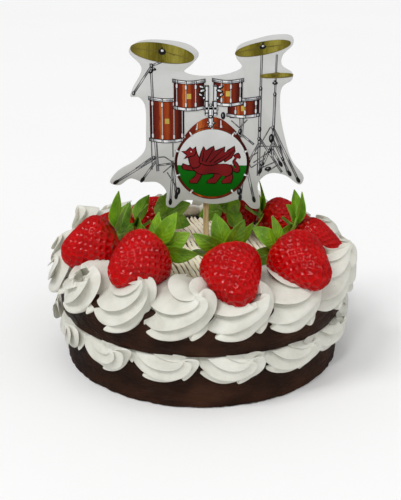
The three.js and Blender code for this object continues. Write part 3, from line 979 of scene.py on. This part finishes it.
def card_body():
    """The card itself, cut out along a smooth edge, with its corners very slightly worn."""
    piece = flat_shape("card_board", smooth_edge(CARD_EDGE, 5), FRONT + CARD_THICK)
    draw_out(y=-CARD_THICK * MM)
    alter(close_up(piece), "BEVEL", width=0.18 * MM, segments=2, limit_method="ANGLE",
          angle_limit=math.radians(60))
    return smooth(piece, 40)


def ink_shape(points, layer):
    """One flat shape of ink, mapped across its own width and height."""
    piece = flat_shape("ink", points, FRONT - INK_STEP * layer)
    draw_out(y=-INK_THICK * MM)
    close_up(piece)
    xs, zs = zip(*points)
    wide, high = max(max(xs) - min(xs), 0.01), max(max(zs) - min(zs), 0.01)

    def share_of_size(number):
        co = piece.data.vertices[number].co
        return (co.x / MM - min(xs)) / wide, (co.z / MM - min(zs)) / high

    map_out(piece, share_of_size)
    return piece


# ---- the picture on the card: shapes of plain ink -----------------------------------------

PICTURE = []                      # every shape in it: the points, the ink and the layer


def ink(colour, layer, points):
    PICTURE.append((points, colour, layer))


def arc(cx, cz, rx, rz, begin, end, count):
    """Points along an upright ellipse, from one angle in degrees towards another."""
    angles = [math.radians(begin + (end - begin) * i / count) for i in range(count)]
    return [(cx + rx * math.cos(a), cz + rz * math.sin(a)) for a in angles]


def oval(cx, cz, rx, rz, lean=0.0, count=36):
    """Points round an ellipse whose long axis leans by some degrees."""
    c, s = math.cos(math.radians(lean)), math.sin(math.radians(lean))
    return [(cx + x * c - z * s, cz + x * s + z * c)
            for x, z in arc(0, 0, rx, rz, 0, 360, count)]


def strip(begin, end, wide, wide_end=None):
    """A straight bar between two points."""
    a, b = Vector(begin), Vector(end)
    off = (b - a).normalized().orthogonal()
    near, far = off * wide / 2, off * (wide if wide_end is None else wide_end) / 2
    return [tuple(a + near), tuple(b + far), tuple(b - far), tuple(a - near)]


def drum_side(left, right, top, bottom, sag):
    """The side of an upright drum seen from slightly above, or the band of one of its hoops."""
    shares = [i / 12 for i in range(13)]
    return [(left + (right - left) * t, edge - sag * math.sin(math.pi * t))
            for edge, run in ((top, shares), (bottom, shares[::-1])) for t in run]


def draw_drum(left, right, top, bottom, sag, lugs, layer):
    """One small drum: a lacquered shell, two chrome hoops, its row of lugs and a bare badge."""
    ink("red lacquer", layer, drum_side(left, right, top, bottom, sag))
    for z, past, thick, colour, above in (
            (top + 0.1, 0.9, 2.7, "black", 0.5), (top + 0.1, 0.5, 1.6, "chrome", 1),
            (top - 0.1, 0.5, 0.35, "black", 2), (bottom + 0.2, 0.8, 2.5, "black", 0.5),
            (bottom + 0.2, 0.4, 1.5, "chrome", 1)):
        ink(colour, layer + above,
            drum_side(left - past, right + past, z + thick / 2, z - thick / 2, sag))
    for share in lugs:
        x = left + (right - left) * share
        drop = sag * math.sin(math.pi * share)
        high, low = top - drop - 0.6, bottom - drop + 0.6
        ink("chrome", layer + 3, strip((x, high), (x, low), 0.42))
        for z in (high - 2.6, low + 2.6):
            ink("black", layer + 3.5, oval(x + 0.1, z - 0.1, 0.95, 1.9, count=16))
            ink("chrome", layer + 4, oval(x, z, 0.7, 1.6, count=16))
        for z in (high + 0.7, low - 0.6):
            ink("black", layer + 4, strip((x, z - 1.1), (x, z + 1.1), 1.3))
            ink("chrome", layer + 4.5, strip((x - 0.1, z - 0.8), (x - 0.1, z + 0.8), 0.6))
    x, z = (left + right) / 2, (top + bottom) / 2 - sag
    ink("badge", layer + 3, strip((x, z + 1.8), (x, z - 1.8), 3.0))


def draw_cymbal(cx, cz, rx, rz, lean, layer):
    """A cymbal seen from below its edge: a brass dish with streaks, a bell and a nut."""
    ink("dark brass", layer, oval(cx, cz - 0.5, rx, rz, lean, 48))
    ink("brass", layer + 1, oval(cx, cz, rx, rz, lean, 48))
    slope = Vector((math.cos(math.radians(lean)), math.sin(math.radians(lean)))) * rx
    for side, far, wide in ((-1, 0.9, 0.5), (1, 0.85, 0.7), (-1, 0.5, 0.4), (1, 0.4, 0.6)):
        end = Vector((cx, cz - side * rz * (wide - 0.5))) + slope * side * far
        ink("dark brass", layer + 2 + far, strip((cx + side * 1.5, cz + 0.8), end, 0.25, wide))
    ink("black", layer + 4, oval(cx, cz + 0.6, rx * 0.12, rz * 0.34, lean, 24))
    ink("chrome", layer + 6.5, oval(cx, cz + 1.3, rx * 0.05, rz * 0.12, lean, 18))
    ink("black", layer + 6, strip((cx, cz + 1.4), (cx, cz + 3.6), 0.8))


def draw_stands():
    """Poles, booms, legs, rubber feet, wires and fittings."""
    bars = [
        ((-27, 208), (-33.5, 205.6), 1.0), ((-33.5, 205.6), (-46.3, 186.7), 1.0),
        ((-34.3, 207), (-33.2, 176), 1.1), ((-33.2, 176), (-30.7, 131.8), 1.5),
        ((-31.5, 141.9), (-60.2, 123.8), 1.2), ((-35.1, 141.3), (-46, 133.5), 0.8),
        ((-32, 139), (-41.6, 125.6), 1.1), ((-31, 136), (-19.8, 137.6), 0.9),
        ((-20.5, 139.5), (-18, 113.5), 1.1), ((-19.8, 137.6), (-22.2, 109.3), 1.1),
        ((40.2, 217), (39.9, 190), 1.0), ((39.9, 190), (39.5, 128.6), 1.5),
        ((50.2, 212.9), (49.7, 186), 0.7), ((49.7, 186), (48.9, 141.7), 1.3),
        ((48.9, 163), (67.6, 125.4), 1.1), ((48.9, 155), (61.3, 130.2), 1.0),
        ((48.9, 152), (40.7, 131.8), 1.0), ((48.9, 148), (54.9, 137.1), 0.9),
        ((39.6, 152), (32.3, 138), 1.0), ((39.6, 156), (56, 131), 1.0),
        ((28.4, 124), (27.1, 112.4), 1.2), ((31, 136), (36.8, 111.1), 1.2),
        ((28.3, 170), (27.5, 156), 1.0), ((27.5, 158), (20, 152.4), 0.9),
        ((27.5, 158), (36, 151), 0.9),
    ]
    for begin, end, wide in bars:
        ink("black", 1, strip(begin, end, wide + 0.6))
        ink("steel", 2, strip(begin, end, wide - 0.15))
    for x, z in ((-33.6, 176), (-33.3, 141.5), (39.9, 190), (39.5, 155), (49.6, 186),
                 (48.9, 163), (-46.3, 186.7), (-33.8, 205.4)):
        ink("black", 3, oval(x, z, 1.2, 1.5, count=14))
        ink("steel", 4, oval(x - 0.2, z + 0.2, 0.6, 0.8, count=12))
    for x, z, lean in ((-60.2, 123.8, 35), (-41.6, 125.6, 55), (-18, 113.5, 80),
                       (-22.2, 109.3, 85), (67.6, 125.4, -60), (61.3, 130.2, -60),
                       (40.7, 131.8, 65), (32.3, 138, 60), (27.1, 112.4, 85),
                       (36.8, 111.1, -75), (54.9, 137.1, -60)):
        ink("black", 4, oval(x, z, 2.4, 1.25, lean, 16))
    wires = [
        ((20.2, 167.9), (25.9, 162.8)), ((25.9, 162.8), (31.2, 168.5)), ((19, 170), (33, 170)),
        ((26, 170), (26.4, 160)), ((39.4, 149.9), (54, 149.4)), ((47.2, 163.4), (39.4, 148.8)),
        ((48.4, 163.4), (56.8, 140.9)), ((54, 151), (59.6, 130.8)), ((38.8, 145.4), (30.9, 140.4)),
        ((30.9, 140.4), (34.5, 134.4)), ((34.5, 134.4), (44, 141)), ((36, 138), (47, 146)),
        ((44, 146), (41, 134)), ((41, 134), (52, 139)), ((46, 131.5), (53, 136.5)),
        ((-35, 141.4), (-25.8, 142.2)), ((-25.8, 142.2), (-19.2, 137.6)),
        ((-19.2, 137.6), (-27, 130.8)), ((-34.8, 154), (-34.6, 133)), ((-20, 153), (-20, 142)),
        ((-24.2, 131), (-17.5, 119.6)), ((30.9, 132), (27, 119.6)),
    ]
    for begin, end in wires:
        ink("black", 2.5, strip(begin, end, 0.75))
        ink("steel", 3, strip(begin, end, 0.2))
    for x, z, long, lean in ((14.6, 171.3, 2.6, 90), (26.4, 160.2, 2.2, 80), (49.5, 193.7, 1.9, 0),
                             (49.5, 195.4, 0.9, 0), (48, 155.4, 3.2, 88), (56.4, 140.6, 1.6, -60),
                             (46.2, 133.6, 2.4, 15), (42, 137, 1.8, 40), (-16.8, 117.2, 2.9, 80),
                             (26.5, 117.2, 2.9, 85), (-34.2, 201.6, 1.9, 40),
                             (-32.2, 203.2, 1.6, -20), (39.9, 161.7, 1.8, 90),
                             (-32.2, 161.0, 1.8, 90), (47, 146.5, 1.7, 70)):
        ink("black", 4.5, oval(x, z, long, min(1.7, long * 0.62), lean, 16))
        ink("steel", 5, oval(x - 0.3, z + 0.3, long * 0.4, 0.35, lean, 12))


def draw_bass_drum():
    """The bass drum: a deep lacquered shell behind a round head, half white and half green."""
    middle, r = Vector((7.1, 137.6)), 24.2
    shell = [(-16.4, 140), (-15.6, 148), (-13.6, 154), (-9, 161), (-3, 166.6), (3, 169.8),
             (8.5, 170.4), (14, 168.6), (20, 164), (25, 158.6), (28.4, 152), (30.6, 145),
             (30.8, 138), (7, 132)]
    ink("red lacquer", 5, smooth_edge(shell, 4))
    for begin, end in (((-3, 166), (-4, 156)), ((13, 168), (13.5, 158)), ((24, 160), (20.5, 152)),
                       ((-12, 157), (-9.5, 150)), ((5, 170), (5, 160))):
        ink("chrome", 6, strip(begin, end, 0.7))
        ink("chrome", 7, oval(*(Vector(begin) + Vector(end)) / 2, 0.8, 1.9, count=14))
    for layer, colour, past in ((8, "dark lacquer", 1.9), (9, "red lacquer", 1.35),
                                (10, "black", 0.25)):
        ink(colour, layer, oval(*middle, r + past, r + past, count=72))
    for colour, begin, end in (("white", -3.5, 183), ("green", 183, 356.5)):
        step = (end - begin) / 36
        ink(colour, 11, arc(*middle, r, r, begin, end + step, 37))
    for degrees in (20, 55, 90, 125, 160, 200, 235, 305, 340):
        a = math.radians(degrees)
        out = Vector((math.cos(a), math.sin(a)))
        ink("chrome", 12, strip(middle + out * (r - 0.6), middle + out * (r + 3.0), 1.3, 0.9))


def draw_dragon():
    """A red dragon with a raised paw, spread wings and a barbed tail, in a few plain shapes."""
    body = [(-6.2, 140.0), (-3.4, 141.4), (0.5, 139.6), (5, 137.6), (10, 136.8), (15, 137.2),
            (19.4, 136.2), (21.2, 132.8), (19.8, 129.6), (16, 128.4), (11.6, 130.2),
            (6.2, 130.6), (1.2, 129.6), (-3.2, 131.0), (-6.4, 134.6)]
    neck = [(-6.6, 134.8), (-8.4, 138.8), (-8.8, 142.6), (-7.0, 146.0), (-4.2, 146.6),
            (-3.0, 143.2), (-1.0, 139.4), (-2.4, 135.4)]
    head = [(-13.6, 146.2), (-10.4, 146.4), (-8.2, 148.8), (-6.8, 147.4), (-4.6, 149.4),
            (-4.2, 146.4), (-5.4, 143.4), (-8.2, 142.8), (-12.2, 141.2), (-10.2, 144.0)]
    paw = [(-5.4, 137.2), (-9.2, 135.6), (-12.6, 137.4), (-13.6, 135.4), (-12.8, 133.4),
           (-9.6, 133.0), (-5.6, 132.4), (-3.2, 133.8)]
    fore_leg = [(-3.8, 132.2), (-4.6, 128.0), (-8.0, 125.6), (-8.6, 123.6), (-3.4, 123.4),
                (-1.6, 126.6), (0.8, 131.0)]
    rear_leg = [(9.6, 132.0), (8.2, 127.6), (4.2, 125.4), (3.8, 123.4), (9.4, 123.4),
                (12.0, 126.6), (15.2, 130.6)]
    far_leg = [(15.6, 132.0), (17.2, 127.6), (14.4, 125.2), (14.6, 123.2), (20.4, 123.6),
               (21.4, 127.2), (21.0, 132.2)]
    near_wing = [(-1.6, 138.4), (-0.6, 144.4), (1.6, 149.7), (3.2, 146.6), (6.4, 148.6),
                 (8.6, 149.6), (9.4, 146.2), (13.4, 148.4), (15.6, 149.4), (15.2, 145.4),
                 (19.4, 146.6), (22.0, 147.0), (18.0, 142.6), (13.2, 139.2), (8.0, 136.6),
                 (3.0, 136.4)]
    far_wing = [(14.2, 142.0), (18.0, 146.6), (22.4, 149.7), (22.8, 146.0), (20.6, 142.0),
                (16.4, 138.8)]
    tail = [(19.6, 134.8), (22.4, 132.2), (25.0, 131.2), (26.4, 133.4), (25.4, 136.4),
            (23.6, 138.6), (24.6, 141.2), (26.6, 140.8), (25.4, 144.6), (22.0, 142.4),
            (23.0, 141.4), (21.8, 138.4), (23.4, 135.6), (23.8, 133.8), (22.4, 134.6),
            (20.6, 137.0)]
    for order, outline in enumerate((far_wing, far_leg, tail, rear_leg, fore_leg, paw, body, neck,
                                     head, near_wing)):
        round_edged = outline in (body, neck, tail)
        edge = [Vector(p) for p in (smooth_edge(outline, 3) if round_edged else outline)]
        middle = sum(edge, Vector((0, 0))) / len(edge)
        ink("dark red", 13 + order * 0.6, [p + (p - middle).normalized() * 0.75 for p in edge])
        ink("dragon red", 13.3 + order * 0.6, edge)
    for begin, end in (((0.4, 139.0), (1.8, 148.4)), ((2.6, 138.6), (8.2, 148.2)),
                       ((5.4, 138.2), (14.6, 147.8)), ((8.4, 138.2), (20.2, 146.0))):
        ink("dark red", 20, strip(begin, end, 0.8, 0.3))
    ink("white", 20, oval(-7.4, 146.0, 0.5, 0.4, count=10))


def draw_mounts():
    """The two posts and their clamps between the small drums, on one bracket."""
    for begin, end, wide in (((3.4, 192.4), (3.4, 171.6), 1.9), ((9.2, 192.4), (9.2, 171.6), 1.9),
                             ((6.2, 179.4), (6.2, 164.2), 2.9), ((1.2, 176.4), (11.2, 176.4), 1.6)):
        ink("black", 17, strip(begin, end, wide + 0.8))
        ink("chrome", 18, strip(begin, end, wide))
    for side in (-1, 1):
        for dx, dz, rx, rz, lean in ((0, 3.4, 2.3, 1.1, 20), (0.6, 0.8, 2.6, 1.2, -15),
                                     (-0.6, -2.0, 2.0, 1.0, 30), (1.8, -4.2, 1.1, 1.3, 0)):
            x, z = 6.3 + side * (6.4 - dx), 187.6 + dz
            ink("black", 19, oval(x, z, rx, rz, side * lean, 18))
            ink("chrome", 19.5, oval(x - 0.2, z + 0.25, rx * 0.62, rz * 0.5, side * lean, 14))
        x = 6.3 + side * 2.9
        for z in (191.8, 181.4, 173.2):
            ink("black", 19, strip((x - 1.5, z), (x + 1.5, z), 0.9))
    for x, z, r in ((6.2, 178.6, 1.5), (6.2, 170.6, 1.7), (4.4, 166.6, 1.2), (8.2, 166.2, 1.2),
                    (6.2, 163.6, 1.4)):
        ink("black", 19, oval(x, z, r, r * 0.75, 0, 16))
        ink("chrome", 19.5, oval(x - 0.2, z + 0.2, r * 0.5, r * 0.3, 0, 12))


def draw_kit():
    """The whole drum kit, from the stands at the back to the bass drum in front."""
    draw_stands()
    draw_cymbal(-26.5, 214.2, 21.6, 6.2, -9.0, 5)
    draw_cymbal(40.7, 217.3, 18.9, 4.2, 11.0, 5)
    ink("dark brass", 6, oval(50.4, 198.2, 11.4, 1.2, 2, 36))
    ink("brass", 7, oval(50.4, 199.2, 11.4, 1.4, 2, 36))
    ink("dark brass", 8, oval(50.4, 200.2, 2.4, 0.9, 2, 18))
    draw_drum(-35.6, -12.0, 183.4, 154.6, 1.6, (0.08, 0.36, 0.7, 0.94), 5)
    draw_drum(17.6, 39.0, 183.6, 171.8, 1.4, (0.25, 0.55, 0.9), 5)
    draw_drum(-19.1, 1.6, 195.4, 177.0, 1.5, (0.1, 0.4, 0.72), 12)
    draw_drum(7.8, 27.6, 195.8, 180.0, 1.4, (0.28, 0.6, 0.92), 12)
    draw_bass_drum()
    draw_mounts()
    draw_dragon()


# One-coloured inks: the colour, and how uneven it is.
PLAIN_INKS = {
    "dark lacquer": ((0.09, 0.012, 0.004), 0.2),
    "dark brass": ((0.14, 0.11, 0.02), 0.2), "black": ((0.014, 0.013, 0.014), 0.2),
    "white": ((0.66, 0.67, 0.66), 0.03), "badge": ((0.56, 0.40, 0.07), 0.1),
    "dragon red": ((0.20, 0.008, 0.010), 0.14), "dark red": ((0.010, 0.001, 0.001), 0.2),
}
# Inks that change across a shape: along which side of its map, how streaky, and the bands.
BANDED_INKS = {
    "red lacquer": ("X", 0.12, [
        (0.0, (0.025, 0.002, 0.001)), (0.12, (0.10, 0.006, 0.001)),
        (0.26, (0.19, 0.015, 0.002)), (0.33, (0.50, 0.12, 0.014)),
        (0.4, (0.24, 0.024, 0.002)), (0.52, (0.34, 0.055, 0.004)),
        (0.6, (0.15, 0.010, 0.001)), (0.7, (0.20, 0.020, 0.002)),
        (0.84, (0.07, 0.004, 0.001)), (1.0, (0.015, 0.001, 0.001))]),
    "chrome": ("X", 0.3, [
        (0.0, (0.12, 0.12, 0.13)), (0.25, (0.75, 0.76, 0.78)), (0.45, (0.9, 0.9, 0.9)),
        (0.6, (0.3, 0.31, 0.33)), (0.8, (0.7, 0.71, 0.73)), (1.0, (0.16, 0.16, 0.18))]),
    "steel": ("X", 0.3, [
        (0.0, (0.04, 0.04, 0.045)), (0.3, (0.34, 0.34, 0.35)), (0.5, (0.62, 0.62, 0.61)),
        (0.65, (0.11, 0.11, 0.12)), (0.85, (0.30, 0.30, 0.31)), (1.0, (0.05, 0.05, 0.055))]),
    "brass": ("X", 0.35, [
        (0.0, (0.14, 0.11, 0.012)), (0.2, (0.24, 0.20, 0.02)), (0.36, (0.13, 0.105, 0.004)),
        (0.46, (0.08, 0.064, 0.002)), (0.55, (0.18, 0.15, 0.012)), (0.72, (0.30, 0.26, 0.04)),
        (0.86, (0.17, 0.14, 0.008)), (1.0, (0.10, 0.08, 0.006))]),
    "green": ("Y", 0.1, [
        (0.0, (0.001, 0.095, 0.001)), (0.6, (0.001, 0.125, 0.001)), (1.0, (0.003, 0.15, 0.004))]),
}


def topper_card():
    """The card with its picture, as one piece."""
    inks = {name: plain_ink(f"{name} ink", *look) for name, look in PLAIN_INKS.items()}
    inks |= {name: banded_ink(f"{name} ink", *look) for name, look in BANDED_INKS.items()}
    body = paint(card_body(), plain_ink("card", (0.585, 0.59, 0.575), 0.02))
    draw_kit()
    return join("printed_card", [body] + [
        paint(ink_shape(points, layer), inks[colour]) for points, colour, layer in PICTURE])


def topper_stick():
    """A round wooden stick with a softly cut upper end."""
    bottom = 42.2
    piece = stacked_round("wooden_stick", [
        (1.9, bottom), (2.0, 42.6), (2.0, 60), (1.98, 80), (2.0, 100), (1.97, 130), (1.99, 160),
        (2.0, 189.4), (1.8, 189.9)], 28)
    bpy.ops.mesh.edge_face_add()
    choose_height(bottom * MM)
    bpy.ops.mesh.edge_face_add()
    return smooth(settle(close_up(piece), place=(3, 3.3, 0)), 40)


# ---- putting it together ----------------------------------------------------------------

def hand_over(piece, slot_name, *nodes):
    """Makes the piece stand for its solids and move with the cake."""
    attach(piece, "root")
    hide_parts(*nodes)


def dress_layers(chocolate):
    for name, radius, bottom, top, seed, ragged, solid in (
            ("chocolate_lower", 99.4, 0, 30, 3.0, True, "lower_layer"),
            ("chocolate_upper", 101.8, 38, 68, 9.0, False, "upper_layer")):
        layer = chocolate_layer(name, radius, bottom, top, seed, ragged)
        hand_over(paint(layer, chocolate), "chocolate", solid)


def dress_cream(cream):
    hand_over(paint(filling_disc(), cream), "cream", "filling")
    hand_over(paint(combed_top(), ivory_finish()), "ivory_cream", "top_cream")
    models = [swirl_model(*swirl) for swirl in SWIRLS]
    for kind, spec in RIMS.items():
        dress_rim(kind, spec, models, cream)
    for model in models:
        throw_away(model)


def dress_berries():
    skin, leaf_paint, stalk_paint = strawberry_finish(), leaf_finish(), stalk_finish()
    berry, blade = berry_model(), leaf_model()
    for number, spec in enumerate(BERRIES, 1):
        hand_over(paint(strawberry(berry, number, spec), skin),
                  "strawberry", f"strawberry_{number}")
        crown = leaf_crown(blade, number, spec, leaf_paint, stalk_paint)
        hand_over(crown, "leaf", f"leaf_crown_{number}")
    throw_away(berry, blade)


set_camera()
set_studio()
speckle_group()
dress_layers(chocolate_finish())
dress_cream(cream_finish())
dress_berries()
hand_over(topper_card(), "card", "topper_card")
hand_over(paint(topper_stick(), wood_finish()), "wood", "topper_stick")
lay_floor()
bpy.context.view_layer.update()
